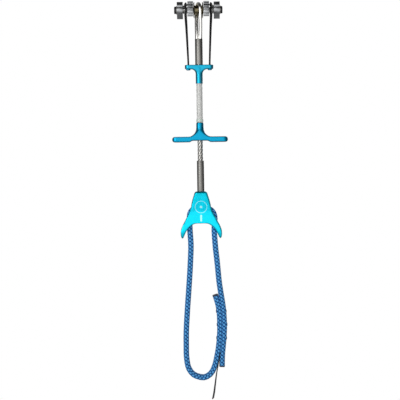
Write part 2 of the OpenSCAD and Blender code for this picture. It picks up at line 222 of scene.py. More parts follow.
class Tree:
    """Adds nodes to one shader tree and links them."""

    def __init__(self, tree):
        self.tree = tree

    def add(self, kind, inputs=None, **settings):
        node = self.tree.nodes.new(kind)
        for key, value in settings.items():
            setattr(node, key, value)
        for key, value in (inputs or {}).items():
            if isinstance(value, bpy.types.NodeSocket):
                self.tree.links.new(value, node.inputs[key])
            else:
                node.inputs[key].default_value = value
        return node

    def math(self, operation, a, b=0.0):
        return self.add("ShaderNodeMath", {0: a, 1: b}, operation=operation).outputs[0]

    def mix(self, factor, a, b):
        node = self.add("ShaderNodeMix", data_type="RGBA")
        for key, value in ((0, factor), (6, a), (7, b)):
            if isinstance(value, bpy.types.NodeSocket):
                self.tree.links.new(value, node.inputs[key])
            else:
                node.inputs[key].default_value = value
        return node.outputs[2]

    def ramp(self, value, low, high):
        inputs = {"Value": value, "From Min": low, "From Max": high}
        return self.add("ShaderNodeMapRange", inputs, interpolation_type="SMOOTHSTEP").outputs[0]

    def stretched(self, scale):
        """Object coordinates, stretched by the inverse of scale along each axis."""
        place = self.add("ShaderNodeTexCoord").outputs["Object"]
        return self.add("ShaderNodeMapping", {"Vector": place, "Scale": scale}).outputs[0]

    def noise(self, vector, scale, detail=3.0):
        inputs = {"Vector": vector, "Scale": scale, "Detail": detail}
        return self.add("ShaderNodeTexNoise", inputs).outputs["Fac"]


def effect(name, build, inputs, outputs):
    """A shared node group, built once. build gets the tree and its inputs, and returns its outputs."""
    group = bpy.data.node_groups.get(name)
    if group:
        return group
    group = bpy.data.node_groups.new(name, "ShaderNodeTree")
    for label, kind, default in inputs:
        group.interface.new_socket(label, in_out="INPUT", socket_type=kind).default_value = default
    for label, kind in outputs:
        group.interface.new_socket(label, in_out="OUTPUT", socket_type=kind)
    tree = Tree(group)
    entry = tree.add("NodeGroupInput")
    made = build(tree, {label: entry.outputs[label] for label, _, _ in inputs})
    exit_node = tree.add("NodeGroupOutput")
    for label, _ in outputs:
        group.links.new(made[label], exit_node.inputs[label])
    return group


VALUE = "NodeSocketFloat"


def build_surface(tree, given):
    """Fine blasted grain, larger handling marks, and wear on convex edges."""
    place = tree.stretched((1, 1, 1))
    grain = tree.noise(place, given["Grain scale"], 2.0)
    marks = tree.noise(place, 260.0, 4.0)
    edge = tree.add("ShaderNodeNewGeometry").outputs["Pointiness"]
    worn = tree.math("MULTIPLY", tree.ramp(edge, 0.53, 0.6), tree.ramp(marks, 0.35, 0.65))
    return {
        "Height": grain,
        "Marks": tree.ramp(marks, 0.3, 0.75),
        "Wear": tree.math("MULTIPLY", worn, given["Wear"]),
    }


def build_brushed(tree, given):
    """Fine lines drawn along the part, for swaged and turned steel."""
    lines = tree.noise(tree.stretched((1, 1, 0.02)), 5200.0, 2.0)
    broad = tree.noise(tree.stretched((1, 1, 0.05)), 900.0, 2.0)
    return {"Height": lines, "Broad": broad}


def build_weave(tree, given):
    """Tufts of yarn in rows, as the swept pieces' relief has them. The UV map counts tufts."""
    split = tree.add("ShaderNodeSeparateXYZ", {0: tree.add("ShaderNodeUVMap").outputs[0]})
    row = tree.math("FLOOR", split.outputs[0])
    odd = tree.math("MULTIPLY", tree.math("FLOORED_MODULO", row, 2.0), 0.5)
    du = tree.math("SUBTRACT", tree.math("FRACT", split.outputs[0]), 0.5)
    dv = tree.math("SUBTRACT", tree.math("FRACT", tree.math("ADD", split.outputs[1], odd)), 0.5)
    dv = tree.math("ADD", dv, tree.math("MULTIPLY", du, given["Slant"]))
    across = tree.math("POWER", tree.math("ABSOLUTE", tree.math("DIVIDE", du, TUFT_HALF[0])), 2.0)
    along = tree.math("POWER", tree.math("ABSOLUTE", tree.math("DIVIDE", dv, TUFT_HALF[1])), 2.0)
    dome = tree.math("MAXIMUM", tree.math("SUBTRACT", 1.0, tree.math("ADD", across, along)), 0.0)
    fibre = tree.add("ShaderNodeCombineXYZ", {
        0: tree.math("MULTIPLY", split.outputs[0], 14.0), 1: tree.math("MULTIPLY", split.outputs[1], 2.5)})
    strand = tree.noise(fibre.outputs[0], 1.0, 2.0)
    return {"Dome": tree.math("SQRT", dome), "Fibre": strand}


EFFECTS = {
    "Handled metal": (build_surface, [("Grain scale", VALUE, 9000.0), ("Wear", VALUE, 0.5)],
                      [("Height", VALUE), ("Marks", VALUE), ("Wear", VALUE)]),
    "Drawn lines": (build_brushed, [], [("Height", VALUE), ("Broad", VALUE)]),
    "Woven yarn": (build_weave, [("Slant", VALUE, TUFT_SLANT)], [("Dome", VALUE), ("Fibre", VALUE)]),
}


def use_effect(tree, name, **inputs):
    """Places a shared effect in a material's tree and returns its outputs."""
    node = tree.add("ShaderNodeGroup", node_tree=effect(name, *EFFECTS[name]))
    for key, value in inputs.items():
        node.inputs[key.replace("_", " ").capitalize()].default_value = value
    return node.outputs


# ---- Materials

def shader(name, **constants):
    """A material with one Principled shader: its tree and that shader."""
    material = bpy.data.materials.new(name)
    material.use_nodes = True
    tree = Tree(material.node_tree)
    principled = material.node_tree.nodes["Principled BSDF"]
    for key, value in constants.items():
        principled.inputs[key.replace("_", " ")].default_value = value
    return material, tree, principled


def feed(tree, principled, **sockets):
    for key, value in sockets.items():
        tree.tree.links.new(value, principled.inputs[key.replace("_", " ")])


def bump(tree, height, strength, mm, normal=None):
    inputs = {"Height": height, "Strength": strength, "Distance": mm * MM}
    if normal:
        inputs["Normal"] = normal
    return tree.add("ShaderNodeBump", inputs).outputs[0]


def rgba(rgb, gain=1.0):
    return (*[min(1.0, c * gain) for c in rgb], 1.0)


def anodised(name, rgb, marking=False):
    """Bead-blasted, dyed aluminium: soft metallic sheen, paler worn edges."""
    material, tree, principled = shader(name, Metallic=0.92, Coat_Weight=0.08, Coat_Roughness=0.18)
    skin = use_effect(tree, "Handled metal", grain_scale=9000.0, wear=0.35)
    dyed = tree.mix(skin["Marks"], rgba(rgb, 0.92), rgba(rgb, 1.08))
    bare = tree.mix(skin["Wear"], dyed, (0.55, 0.72, 0.78, 1))
    if marking:
        bare = tree.mix(pale_front_marks(tree), bare, (0.62, 0.9, 0.93, 1))
    rough = tree.math("ADD", tree.math("MULTIPLY", skin["Marks"], 0.06), 0.27)
    feed(tree, principled, Base_Color=bare, Roughness=rough, Normal=bump(tree, skin["Height"], 0.25, 0.02))
    return material


def pale_front_marks(tree):
    """A plain ring with a dot, and a bar under it, on the press's front face."""
    centre_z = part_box("thumb_press")[1].z - MARK_DOWN * MM
    place = tree.add("ShaderNodeTexCoord").outputs["Object"]
    split = tree.add("ShaderNodeSeparateXYZ", {0: place})
    x, y, z = split.outputs
    dz = tree.math("SUBTRACT", z, centre_z)
    squares = tree.math("ADD", tree.math("MULTIPLY", x, x), tree.math("MULTIPLY", dz, dz))
    radius = tree.math("SQRT", squares)
    off_ring = tree.math("ABSOLUTE", tree.math("SUBTRACT", radius, RING_R * MM))
    ring = tree.math("LESS_THAN", off_ring, RING_HALF * MM)
    dot = tree.math("LESS_THAN", radius, DOT_R * MM)
    # The bar under the ring is a plain pale upright streak in the marks' colour
    off_bar = tree.math("ABSOLUTE", tree.math("ADD", dz, BAR_DOWN * MM))
    bar_x = tree.math("LESS_THAN", tree.math("ABSOLUTE", x), BAR_HALF_W * MM)
    bar_z = tree.math("LESS_THAN", off_bar, BAR_HALF_H * MM)
    marks = tree.math("MAXIMUM", tree.math("MAXIMUM", ring, dot), tree.math("MULTIPLY", bar_x, bar_z))
    front = tree.math("LESS_THAN", y, FRONT_Y * MM)
    return tree.math("MULTIPLY", tree.math("MULTIPLY", marks, front), 0.6)


def steel(name, rgb, roughness, lines=0.5, painted_groove_shade=None):
    """Drawn or swaged steel, with fine lines along it. Its last argument, if given, is how far from the
    stem's axis, in millimetres, the colour goes from dark to bright: painted shade in the grooves between a
    rope's strands."""
    material, tree, principled = shader(name, Metallic=1.0)
    drawn = use_effect(tree, "Drawn lines")
    tone = tree.mix(tree.ramp(drawn["Broad"], 0.3, 0.7), rgba(rgb, 0.82), rgba(rgb, 1.12))
    # Painted shade: near black close to the stem's axis, in the grooves between the rope's strands
    if painted_groove_shade:
        place = tree.stretched((1000, 1000, 0))
        reach = tree.add("ShaderNodeVectorMath", {0: place}, operation="LENGTH").outputs["Value"]
        tone = tree.mix(tree.ramp(reach, *painted_groove_shade), (0.02, 0.02, 0.02, 1), tone)
    rough = tree.math("ADD", tree.math("MULTIPLY", drawn["Height"], 0.15), roughness - 0.07)
    scored = bump(tree, drawn["Height"], lines, 0.02)
    feed(tree, principled, Base_Color=tone, Roughness=rough, Normal=scored)
    return material


def cast(name, rgb, roughness, grain=7000.0, wear=0.6, metallic=1.0, strength=0.3, blotch=0.2):
    """Machined or oxidised metal with a blasted grain and worn edges."""
    material, tree, principled = shader(name, Metallic=metallic)
    skin = use_effect(tree, "Handled metal", grain_scale=grain, wear=wear)
    tone = tree.mix(skin["Marks"], rgba(rgb, 1 - blotch), rgba(rgb, 1 + 0.7 * blotch))
    tone = tree.mix(skin["Wear"], tone, rgba([0.25 + 0.6 * c for c in rgb]))
    patchy = tree.math("MULTIPLY", skin["Marks"], 0.6 * blotch)
    rough = tree.math("ADD", patchy, roughness - 0.25 * blotch)
    grained = bump(tree, skin["Height"], strength, 0.03)
    feed(tree, principled, Base_Color=tone, Roughness=rough, Normal=grained)
    return material


def yarn(name, ground, tuft, sheen=0.05, roughness=0.68):
    """Woven or braided yarn on the swept pieces' UV map. Its colour runs from ground between the tufts to
    tuft on their
    tops, following their height: the yarn's own colour, with painted shade in the gaps and a painted
    highlight on the tops.
    """
    material, tree, principled = shader(name, Sheen_Weight=sheen, Sheen_Roughness=0.4,
                                        Specular_IOR_Level=0.25)
    weave = use_effect(tree, "Woven yarn", slant=TUFT_SLANT)
    # Painted shade and highlight: darker between the tufts, lighter on their tops, following their height
    shade = tree.math("MULTIPLY", tree.ramp(weave["Dome"], 0.1, 0.8),
                      tree.math("ADD", tree.math("MULTIPLY", weave["Fibre"], 0.5), 0.72))
    tone = tree.mix(shade, rgba(ground), rgba(tuft))
    height = tree.math("ADD", weave["Dome"], tree.math("MULTIPLY", weave["Fibre"], 0.35))
    rough = tree.math("ADD", tree.math("MULTIPLY", weave["Fibre"], 0.12), roughness)
    feed(tree, principled, Base_Color=tone, Roughness=rough, Normal=bump(tree, height, 0.5, 0.12))
    return material


def ribbon(name, rgb):
    """Flat woven ribbon, with fine ribs across it."""
    material, tree, principled = shader(name, Sheen_Weight=0.05, Sheen_Roughness=0.4)
    uv = tree.add("ShaderNodeSeparateXYZ", {0: tree.add("ShaderNodeUVMap").outputs[0]})
    ribs = tree.math("SINE", tree.math("MULTIPLY", uv.outputs[1], TURN * 2.2))
    threads = tree.math("SINE", tree.math("MULTIPLY", uv.outputs[0], TURN * 3.0))
    height = tree.math("MULTIPLY", ribs, threads)
    tone = tree.mix(tree.ramp(height, -1.0, 1.0), rgba(rgb, 0.5), rgba(rgb, 1.6))
    rough = tree.math("ADD", tree.math("MULTIPLY", height, 0.05), 0.6)
    feed(tree, principled, Base_Color=tone, Roughness=rough, Normal=bump(tree, height, 0.4, 0.06))
    return material


def clear_tube(name, rgb, cover):
    """Clear plastic with a faint milky haze. cover is how much of what is behind it the haze hides."""
    material, tree, principled = shader(name, IOR=1.45)
    haze = tree.noise(tree.stretched((1, 1, 0.25)), 700.0, 3.0)
    tone = tree.mix(haze, rgba(rgb, 0.93), rgba(rgb, 1.0))
    rough = tree.math("ADD", tree.math("MULTIPLY", haze, 0.08), 0.12)
    alpha = tree.math("ADD", tree.math("MULTIPLY", haze, 0.16), cover - 0.08)
    feed(tree, principled, Base_Color=tone, Roughness=rough, Alpha=alpha)
    return material


# ---- Mesh work

def finished(name, bm, body, material, replaces=(), sharp=40.0):
    """A smooth-shaded piece from a bmesh, riding on a body and standing for CAD nodes."""
    limit = math.radians(sharp)
    for edge in bm.edges:
        edge.smooth = len(edge.link_faces) == 2 and edge.calc_face_angle(0.0) < limit
    for face in bm.faces:
        face.smooth = True
    mesh = bpy.data.meshes.new(name)
    bm.to_mesh(mesh)
    bm.free()
    return placed(name, mesh, body, material, replaces)


def placed(name, mesh, body, material, replaces=()):
    """Makes a mesh a piece."""
    for each in material if isinstance(material, list) else [material]:
        mesh.materials.append(each)
    piece = bpy.data.objects.new(name, mesh)
    bpy.context.scene.collection.objects.link(piece)
    if body:
        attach(piece, body)
    if replaces:
        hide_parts(*replaces)
    return piece


def merged_copy(node):
    """The CAD node's mesh as one closed bmesh with its flat faces whole."""
    bm = bmesh.new()
    bm.from_mesh(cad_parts[node].data)
    bmesh.ops.remove_doubles(bm, verts=bm.verts, dist=2e-6)
    return bm


def bevelled(node, width, segments=2, sharp=32.0):
    """A copy of a CAD node with its sharp edges rounded."""
    bm = merged_copy(node)
    bmesh.ops.dissolve_limit(bm, angle_limit=math.radians(0.5), verts=bm.verts, edges=bm.edges)
    limit = math.radians(sharp)
    edges = [e for e in bm.edges if len(e.link_faces) == 2 and e.calc_face_angle(0.0) > limit]
    bmesh.ops.bevel(bm, geom=edges, offset=width, offset_type="OFFSET", segments=segments, profile=0.5,
                    affect="EDGES", clamp_overlap=True, material=-1)
    return bm


def softened(node, voxel, rounds):
    """A copy of a CAD node remeshed finely and smoothed, as a tumbled part is."""
    bm = merged_copy(node)
    mesh = bpy.data.meshes.new(node + "_copy")
    bm.to_mesh(mesh)
    bm.free()
    stand_in = bpy.data.objects.new(node + "_copy", mesh)
    bpy.context.scene.collection.objects.link(stand_in)
    remesh = stand_in.modifiers.new("Remesh", "REMESH")
    remesh.mode, remesh.voxel_size, remesh.use_smooth_shade = "VOXEL", voxel, True
    smooth = stand_in.modifiers.new("Smooth", "SMOOTH")
    smooth.factor, smooth.iterations = 0.5, rounds
    result = bpy.data.meshes.new_from_object(
        stand_in.evaluated_get(bpy.context.evaluated_depsgraph_get()))
    bpy.data.objects.remove(stand_in)
    result.name = node
    return result


def curve_through(points, step):
    """Points a step apart, in millimetres, on the smooth curve through a route."""
    knots = [Vector(p) for p in points]
    ends = [2 * knots[0] - knots[1], *knots, 2 * knots[-1] - knots[-2]]
    fine = []
    for a, b, c, d in zip(ends, ends[1:], ends[2:], ends[3:]):
        for i in range(24):
            t = i / 24
            fine.append(0.5 * (2 * b + (c - a) * t + (2 * a - 5 * b + 4 * c - d) * t * t
                               + (3 * b - a - 3 * c + d) * t ** 3))
    fine.append(knots[-1])
    reach = [0.0]
    for a, b in zip(fine, fine[1:]):
        reach.append(reach[-1] + (b - a).length)
    count = max(2, round(reach[-1] / step))
    line, at = [], 0
    for i in range(count + 1):
        goal = reach[-1] * i / count
        while at < len(reach) - 2 and reach[at + 1] < goal:
            at += 1
        share = (goal - reach[at]) / max(reach[at + 1] - reach[at], 1e-9)
        line.append(fine[at].lerp(fine[at + 1], min(1.0, share)))
    return line


def line_length(line):
    return sum((b - a).length for a, b in zip(line, line[1:]))


def standing_frames(line, side=None, twist=0.0):
    """(point, normal, binormal) along a line. A side vector keeps the section upright, as on a strap.
    twist is how far that vector leans over along X by the line's end."""
    normal, frames = None, []
    for i, point in enumerate(line):
        ahead = (line[min(i + 1, len(line) - 1)] - line[max(i - 1, 0)]).normalized()
        if side:
            lean = Vector((twist * i / len(line), 0, 0))
            normal = (Vector(side) + lean).cross(ahead).normalized()
        else:
            normal = normal or ahead.orthogonal()
            normal = (normal - ahead * normal.dot(ahead)).normalized()
        frames.append((point, normal, ahead.cross(normal)))
    return frames


def round_section(radius, sides):
    return [(radius * math.cos(TURN * i / sides), radius * math.sin(TURN * i / sides)) for i in range(sides)]


def flat_section(thickness, width, sides, power):
    """An even-stepped flattened tube, starting at the middle of its -b edge."""
    fine = []
    for i in range(720):
        a = TURN * i / 720 - TURN / 4
        c, s = math.cos(a), math.sin(a)
        fine.append(Vector((math.copysign(abs(c) ** (2 / power), c) * thickness / 2,
                            math.copysign(abs(s) ** (2 / power), s) * width / 2)))
    fine.append(fine[0])
    reach = [0.0]
    for a, b in zip(fine, fine[1:]):
        reach.append(reach[-1] + (b - a).length)
    section, at = [], 0
    for i in range(sides):
        goal = reach[-1] * i / sides
        while reach[at + 1] < goal:
            at += 1
        section.append(tuple(fine[at].lerp(fine[at + 1], (goal - reach[at]) / (reach[at + 1] - reach[at]))))
    return section


def tuft_height(u, v):
    """Height, 0 to 1, of the weave at a place counted in tufts."""
    row = math.floor(u)
    du = u - row - 0.5
    v += 0.5 * (row % 2)
    dv = v - math.floor(v) - 0.5 + TUFT_SLANT * du
    return math.sqrt(max(0.0, 1 - (du / TUFT_HALF[0]) ** 2 - (dv / TUFT_HALF[1]) ** 2))


def sweep(bm, line, section, side=None, tufts=(1, 1.0), shift=(0.0, 0.0), relief=0.0,
          twist=0.0, sealed=(0, 0)):
    """Adds a closed tube swept along a line in millimetres to a bmesh.
    tufts is (rows round it, pitch along it): the UV map and the relief count in those.
    sealed is how many rings at each end have the second material, as a melted end does."""
    uv = bm.loops.layers.uv.verify()
    columns, rows = len(section), len(line) - 1
    before = set(bm.verts)
    made = bmesh.ops.create_grid(bm, x_segments=columns, y_segments=rows, size=0.5)
    grid = made["verts"]
    pitch_rows = line_length(line) / tufts[1] / rows
    spot, ring = {}, {}
    frames = standing_frames(line, side, twist)
    for vert in grid:
        i = round((vert.co.x + 0.5) * columns)
        j = round((vert.co.y + 0.5) * rows)
        u, v = i / columns * tufts[0] + shift[0], j * pitch_rows + shift[1]
        spot[vert] = (u, v)
        point, normal, binormal = frames[j]
        a, b = section[i % columns]
        out = normal * a + binormal * b
        grow = 1 + relief * (tuft_height(u, v) - 0.35) / max(out.length, 1e-6)
        vert.co = (point + out * grow) * MM
        ring[vert] = j
    for face in {f for v in grid for f in v.link_faces}:
        for loop in face.loops:
            loop[uv].uv = spot[loop.vert]
        nearest = min(ring[v] for v in face.verts)
        if nearest < sealed[0] or nearest >= rows - sealed[1]:
            face.material_index = 1
    bmesh.ops.remove_doubles(bm, verts=grid, dist=1e-7)
    fresh = [v for v in bm.verts if v not in before]
    rims = {e for v in fresh for e in v.link_edges if len(e.link_faces) == 1}
    for cap in bmesh.ops.holes_fill(bm, edges=list(rims), sides=0)["faces"]:
        cap.material_index = 1 if max(sealed) else 0


def swept_piece(name, lines, section, body, slot, material, replaces=(), side=None, **options):
    """One piece of one or more closed tubes along lines."""
    bm = bmesh.new()
    for line in lines:
        sweep(bm, line, section, side, **options)
    bmesh.ops.recalc_face_normals(bm, faces=bm.faces)
    return finished(name, bm, body, material, replaces, sharp=60.0)


def bevelled_piece(node, body, material, width=None, segments=2):
    width = sizes().edge_round if width is None else width * MM
    return finished(node + "_fine", bevelled(node, width, segments), body, material, [node])


def softened_piece(node, body, material, voxel, rounds):
    mesh = softened(node, voxel, rounds)
    return placed(node + "_fine", mesh, body, material, [node])


# ---- Materials of this cam

def dyed_cloth():
    return yarn("Webbing", colours().ground, colours().tuft)


def melted_cloth():
    """Webbing ends that were cut with heat: dark and slightly glossy."""
    return cast("Melted webbing", (0.012, 0.022, 0.06), 0.45, grain=3000.0, wear=0.0, metallic=0.0)


# ---- Routes worked out from the lists above

def x_at(route, z):
    """Where a strand of the sling is, across, at a height. Only its first way down or last way up counts."""
    for (xa, _, za), (xb, _, zb) in zip(route, route[1:]):
        if min(za, zb) <= z <= max(za, zb):
            return xa + (xb - xa) * (z - za) / (zb - za)
    raise ValueError(f"no part of the route is at {z}")


def wire_lines():
    """Centre lines of all the wires of a seven-strand rope, each strand with its own core wire."""
    s = sizes()
    low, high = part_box("stem_rope")
    top, bottom, rope_r = high.z / MM, low.z / MM, high.x / MM
    strand_r = rope_r / 3
    wire_r = strand_r / WIRE_FIT
    rope_lay, strand_lay = s.rope_lay / MM, s.strand_lay / MM
    slope = math.atan(TURN * 2 * strand_r / rope_lay)
    step = 0.6
    count = round((top - bottom) / step)
    lines = []
    for strand in range(-1, 6):
        for wire in range(-1, s.wires):
            line = []
            for i in range(count + 1):
                z = top - (top - bottom) * i / count
                a = TURN * strand / 6 + TURN * z / rope_lay
                out = Vector((math.cos(a), math.sin(a), 0))
                sideways = Vector((-math.sin(a), math.cos(a), 0))
                across = sideways * math.cos(slope) - Vector((0, 0, math.sin(slope)))
                centre = Vector((0, 0, z)) + (out * 2 * strand_r if strand >= 0 else Vector())
                b = TURN * wire / s.wires + TURN * z / strand_lay
                offset = (out * math.cos(b) + across * math.sin(b)) * 2 * wire_r
                line.append(centre + (offset if wire >= 0 else Vector()))
            lines.append(line)
    return lines, wire_r


def loop_line():
    """The head loop: up the spool's front, over it and down its back."""
    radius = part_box("head_loop")[1].z / MM - LOOP_WIRE_R
    leg = [(1.35, 0, -26.5), (1.35, 0, -22), (1.4, -0.7, -18), (1.5, -2.1, -13), (1.5, -3.6, -8),
           (1.35, -4.5, -3.6)]
    over = []
    for i in range(13):
        a = math.radians(-14 + 208 * i / 12)
        over.append((1.35 * math.cos(math.pi * i / 12), -radius * math.cos(a), radius * math.sin(a)))
    back = [(-x, -y, z) for x, y, z in reversed(leg)]
    return curve_through(leg + over + back, 0.5)


def spring_line(side):
    """A torsion spring's wire: four turns round the axle between the lobes, with a short leg at each end."""
    low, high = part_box("spring_" + side)
    near, far = sorted((abs(low.x), abs(high.x)))
    first, last = near / MM + SPRING_WIRE_R, far / MM - SPRING_WIRE_R
    steps, coil = 24 * SPRING_TURNS, []
    for i in range(steps + 1):
        a = math.radians(270 - 360 * SPRING_TURNS * i / steps)
        x = first + (last - first) * i / steps
        coil.append((x, SPRING_MEAN_R * math.cos(a), SPRING_MEAN_R * math.sin(a)))
    route = [(first, -SPRING_LEG, -SPRING_MEAN_R), *coil, (last, SPRING_LEG, -SPRING_MEAN_R)]
    return curve_through([(SIDES[side] * x, y, z) for x, y, z in route], 0.35)


def cord_line(side, facing):
    """A trigger cord: an eye round its lobe's post, then down to the collar.
    facing is 1 for an inner lobe's cord and -1 for an outer one's."""
    top = Vector((EYE_X[facing], POST_Y, POST_Z))
    route = []
    for degrees in range(-30, 181, 35):
        a = math.radians(degrees)
        route.append(top + EYE_R * Vector((0, math.cos(a), math.sin(a))))
    start = top - Vector((0, EYE_R, 0))
    route.append(start)
    for share, back, up in CORD_RUN:
        route.append(start + Vector((share * (CORD_HOLE_X - start.x), back, up)))
    route += [Vector((CORD_HOLE_X, y, z)) for y, z in CORD_END]
    return curve_through([(SIDES[side] * x, facing * y, z) for x, y, z in route], 0.3)


def tack_line(face, z, outward):
    """A bar tack's thread, zigzagging over the webbing's outer face at a height."""
    half, line = sizes().webbing_t / 2 / MM, []
    stitches = 26
    for i in range(stitches + 1):
        y = -TACK_W / 2 + TACK_W * i / stitches
        surface = half * (1 - abs(2 * y / STRAP_W) ** WEBBING_POWER) ** (1 / WEBBING_POWER)
        rise = TACK_HALF_H if i % 2 else -TACK_HALF_H
        line.append((face + outward * (surface + TACK_PROUD), y, z + rise))
    return [Vector(p) for p in line]


# ---- Operators

class CLIMBCAM_OT_stage(Operator):
    """Camera, white tent with its floor, soft lights and dark cards"""
    bl_idname = "climbcam.stage"
    bl_label = "Stage"

    def execute(self, context):
        scene = context.scene
        scene.view_settings.view_transform = "Standard"
        low, high = CAD_BOX
        middle = (low.z + high.z) / 2
        camera = bpy.data.objects.new("Camera", bpy.data.cameras.new("Camera"))
        camera.data.lens, camera.data.sensor_width = LENS, SENSOR
        roll = Matrix.Rotation(math.radians(CAMERA_ROLL), 4, "Z")
        place = Matrix.Translation((CAMERA_SHIFT, -CAMERA_AWAY, middle))
        camera.matrix_world = place @ Matrix.Rotation(TURN / 4, 4, "X") @ roll
        scene.collection.objects.link(camera)
        scene.camera = camera
        self.tent(low.z - 0.06)
        for lamp in LAMPS:
            self.lamp(*lamp, middle)
        for card in CARDS:
            self.card(*card, middle)
        world = bpy.data.worlds.new("Studio")
        world.use_nodes = True
        world.node_tree.nodes["Background"].inputs["Strength"].default_value = 0.3
        scene.world = world
        return {"FINISHED"}

    def tent(self, floor):
        """A drum with a rounded foot: floor, wall and roof in one surface."""
        radius, height, curve = 2.4, 3.6, 0.7
        bm = bmesh.new()
        start = bm.verts.new((0.001, 0, floor))
        edge_in = bm.verts.new((radius - curve, 0, floor))
        wall = bm.verts.new((radius, 0, floor + curve))
        roof = bm.verts.new((radius, 0, floor + height))
        end = bm.verts.new((0.001, 0, floor + height))
        outline = [start, edge_in, wall, roof, end]
        for pair in zip(outline, outline[1:]):
            bm.edges.new(pair)
        bmesh.ops.bevel(bm, geom=[edge_in, wall, roof], offset=0.35, segments=8, profile=0.5,
                        affect="VERTICES", material=-1)
        bmesh.ops.spin(bm, geom=list(bm.verts) + list(bm.edges), axis=(0, 0, 1), cent=(0, 0, 0),
                       angle=TURN, steps=64, use_merge=True)
        bmesh.ops.remove_doubles(bm, verts=bm.verts, dist=1e-5)
        for face in bm.faces:
            face.smooth = True
        mesh = bpy.data.meshes.new("Tent")
        bm.to_mesh(mesh)
        bm.free()
        material, tree, _ = shader("Tent")
        seen = tree.add("ShaderNodeLightPath").outputs["Is Camera Ray"]
        place = tree.add("ShaderNodeSeparateXYZ", {0: tree.add("ShaderNodeTexCoord").outputs["Object"]})
        low = floor + 0.2
        window = 1.0
        # Axis, where the added glow has faded out, and where it is full
        fades = ((0, -2.3, -1.8), (0, 1.5, 0.3), (1, 0.0, -0.8), (2, low + 1.6, low + 0.8))
        for axis, dark, bright in fades:
            window = tree.math("MULTIPLY", tree.ramp(place.outputs[axis], dark, bright), window)
        front = tree.math("ADD", tree.math("MULTIPLY", window, GLOW_FRONT), GLOW)
        glow = tree.add("ShaderNodeMapRange", {"Value": seen, "To Min": front, "To Max": 1.0})
        emission = tree.add("ShaderNodeEmission", {"Strength": glow.outputs[0], "Color": (1, 1, 1, 1)})
        tree.tree.links.new(emission.outputs[0], tree.tree.nodes["Material Output"].inputs["Surface"])
        mesh.materials.append(material)
        tent = bpy.data.objects.new("Tent", mesh)
        bpy.context.scene.collection.objects.link(tent)

    def lamp(self, name, azimuth, elevation, distance, width, height, watts, aim):
        light = bpy.data.lights.new(name, "AREA")
        light.shape, light.size, light.size_y, light.energy = "RECTANGLE", width, height, watts
        lamp = bpy.data.objects.new(name, light)
        lamp.visible_camera = False
        self.aimed(lamp, azimuth, elevation, distance, aim)

    def card(self, name, azimuth, elevation, distance, width, height, aim):
        bm = bmesh.new()
        bmesh.ops.create_grid(bm, x_segments=1, y_segments=1, size=0.5)
        mesh = bpy.data.meshes.new(name)
        bmesh.ops.scale(bm, vec=(width, height, 1), verts=bm.verts)
        bm.to_mesh(mesh)
        bm.free()
        material, _, principled = shader(name, Roughness=1.0, Specular_IOR_Level=0.0)
        principled.inputs["Base Color"].default_value = (0.02, 0.02, 0.02, 1)
        mesh.materials.append(material)
        card = bpy.data.objects.new(name, mesh)
        card.visible_camera = card.visible_shadow = card.visible_diffuse = False
        self.aimed(card, azimuth, elevation, distance, aim)

    def aimed(self, thing, azimuth, elevation, distance, aim):
        """Puts a thing on a sphere round the object, facing its middle. Azimuth 0 is behind the camera."""
        a, e = math.radians(azimuth), math.radians(elevation)
        back = Vector((math.sin(a) * math.cos(e), -math.cos(a) * math.cos(e), math.sin(e)))
        thing.matrix_world = (Matrix.Translation(Vector((0, 0, aim)) + back * distance)
                              @ (-back).to_track_quat("-Z", "Y").to_matrix().to_4x4())
        bpy.context.scene.collection.objects.link(thing)


class CLIMBCAM_OT_sling(Operator):
    """Webbing sling, its bar tacks and its label"""
    bl_idname = "climbcam.sling"
    bl_label = "Sling"

    def execute(self, context):
        s = sizes()
        pitch, thickness = s.tuft_pitch / MM, s.webbing_t / MM
        perimeter_rows = 2 * round((2 * STRAP_W + 1.3 * thickness) / (s.tuft_w / MM) / 2)
        section = flat_section(thickness, STRAP_W, 6 * perimeter_rows, WEBBING_POWER)
        material = [dyed_cloth(), melted_cloth()]
        right = curve_through(STRAND_RIGHT, RING_STEP)
        bight = curve_through(BIGHT, RING_STEP)
        left = curve_through(STRAND_LEFT, RING_STEP)
        start = -(line_length(bight) + line_length(right)) / pitch
        for name, line, sealed in (("right", right[::-1], (3, 0)), ("bight", bight[::-1], (0, 0)),
                                   ("left", left, (0, 3))):
            node = "sling_" + name
            swept_piece(
                "webbing_" + name, [line], section, "handle", "blue_webbing", material, [node], (0, 1, 0),
                tufts=(perimeter_rows, pitch), shift=(WEAVE_TURN[name], start), relief=s.tuft_relief / MM,
                sealed=sealed)
            start += line_length(line) / pitch
        tacks = self.tacks()
        label_line = curve_through(LABEL, 0.5)
        label = self.label(label_line)
        return {"FINISHED"}

    def tacks(self):
        lines = []
        for z in TACK_HEIGHTS:
            lines.append(tack_line(x_at(STRAND_RIGHT, z), z, 1))
            lines.append(tack_line(x_at(STRAND_LEFT[::-1], z), z, -1))
        # The thread's two colours give painted shade between its tufts and a painted highlight on them
        material = yarn("Tack thread", (0.004, 0.02, 0.08), (0.03, 0.12, 0.34))
        return swept_piece("bar_tacks", lines, round_section(THREAD_R, 8), "handle", "tack_thread", material,
                           ["sling_tacks"], (1, 0, 0), tufts=(2, 0.8), relief=0.03)

    def label(self, line):
        section = flat_section(sizes().label_t / MM, STRAP_W, 48, 6)
        material = ribbon("Label", (0.02, 0.02, 0.022))
        return swept_piece("label_ribbon", [line], section, "handle", "black_label", material,
                           ["sling_label"], (0, 1, 0), tufts=(20, 1.0), twist=LABEL_TWIST)


class CLIMBCAM_OT_rope(Operator):
    """Seven-strand wire rope of the stem"""
    bl_idname = "climbcam.rope"
    bl_label = "Wire rope"

    def execute(self, context):
        lines, wire_r = wire_lines()
        # The rope wire's colour carries painted shade in the grooves between its strands, near the stem's
        # axis
        rope = swept_piece("wire_rope", lines, round_section(wire_r, 6), None, "wire_rope",
                           steel("Rope wire", (0.85, 0.84, 0.8), 0.22, painted_groove_shade=(1.35, 1.95)), ["stem_rope"])
        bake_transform(rope)
        return {"FINISHED"}


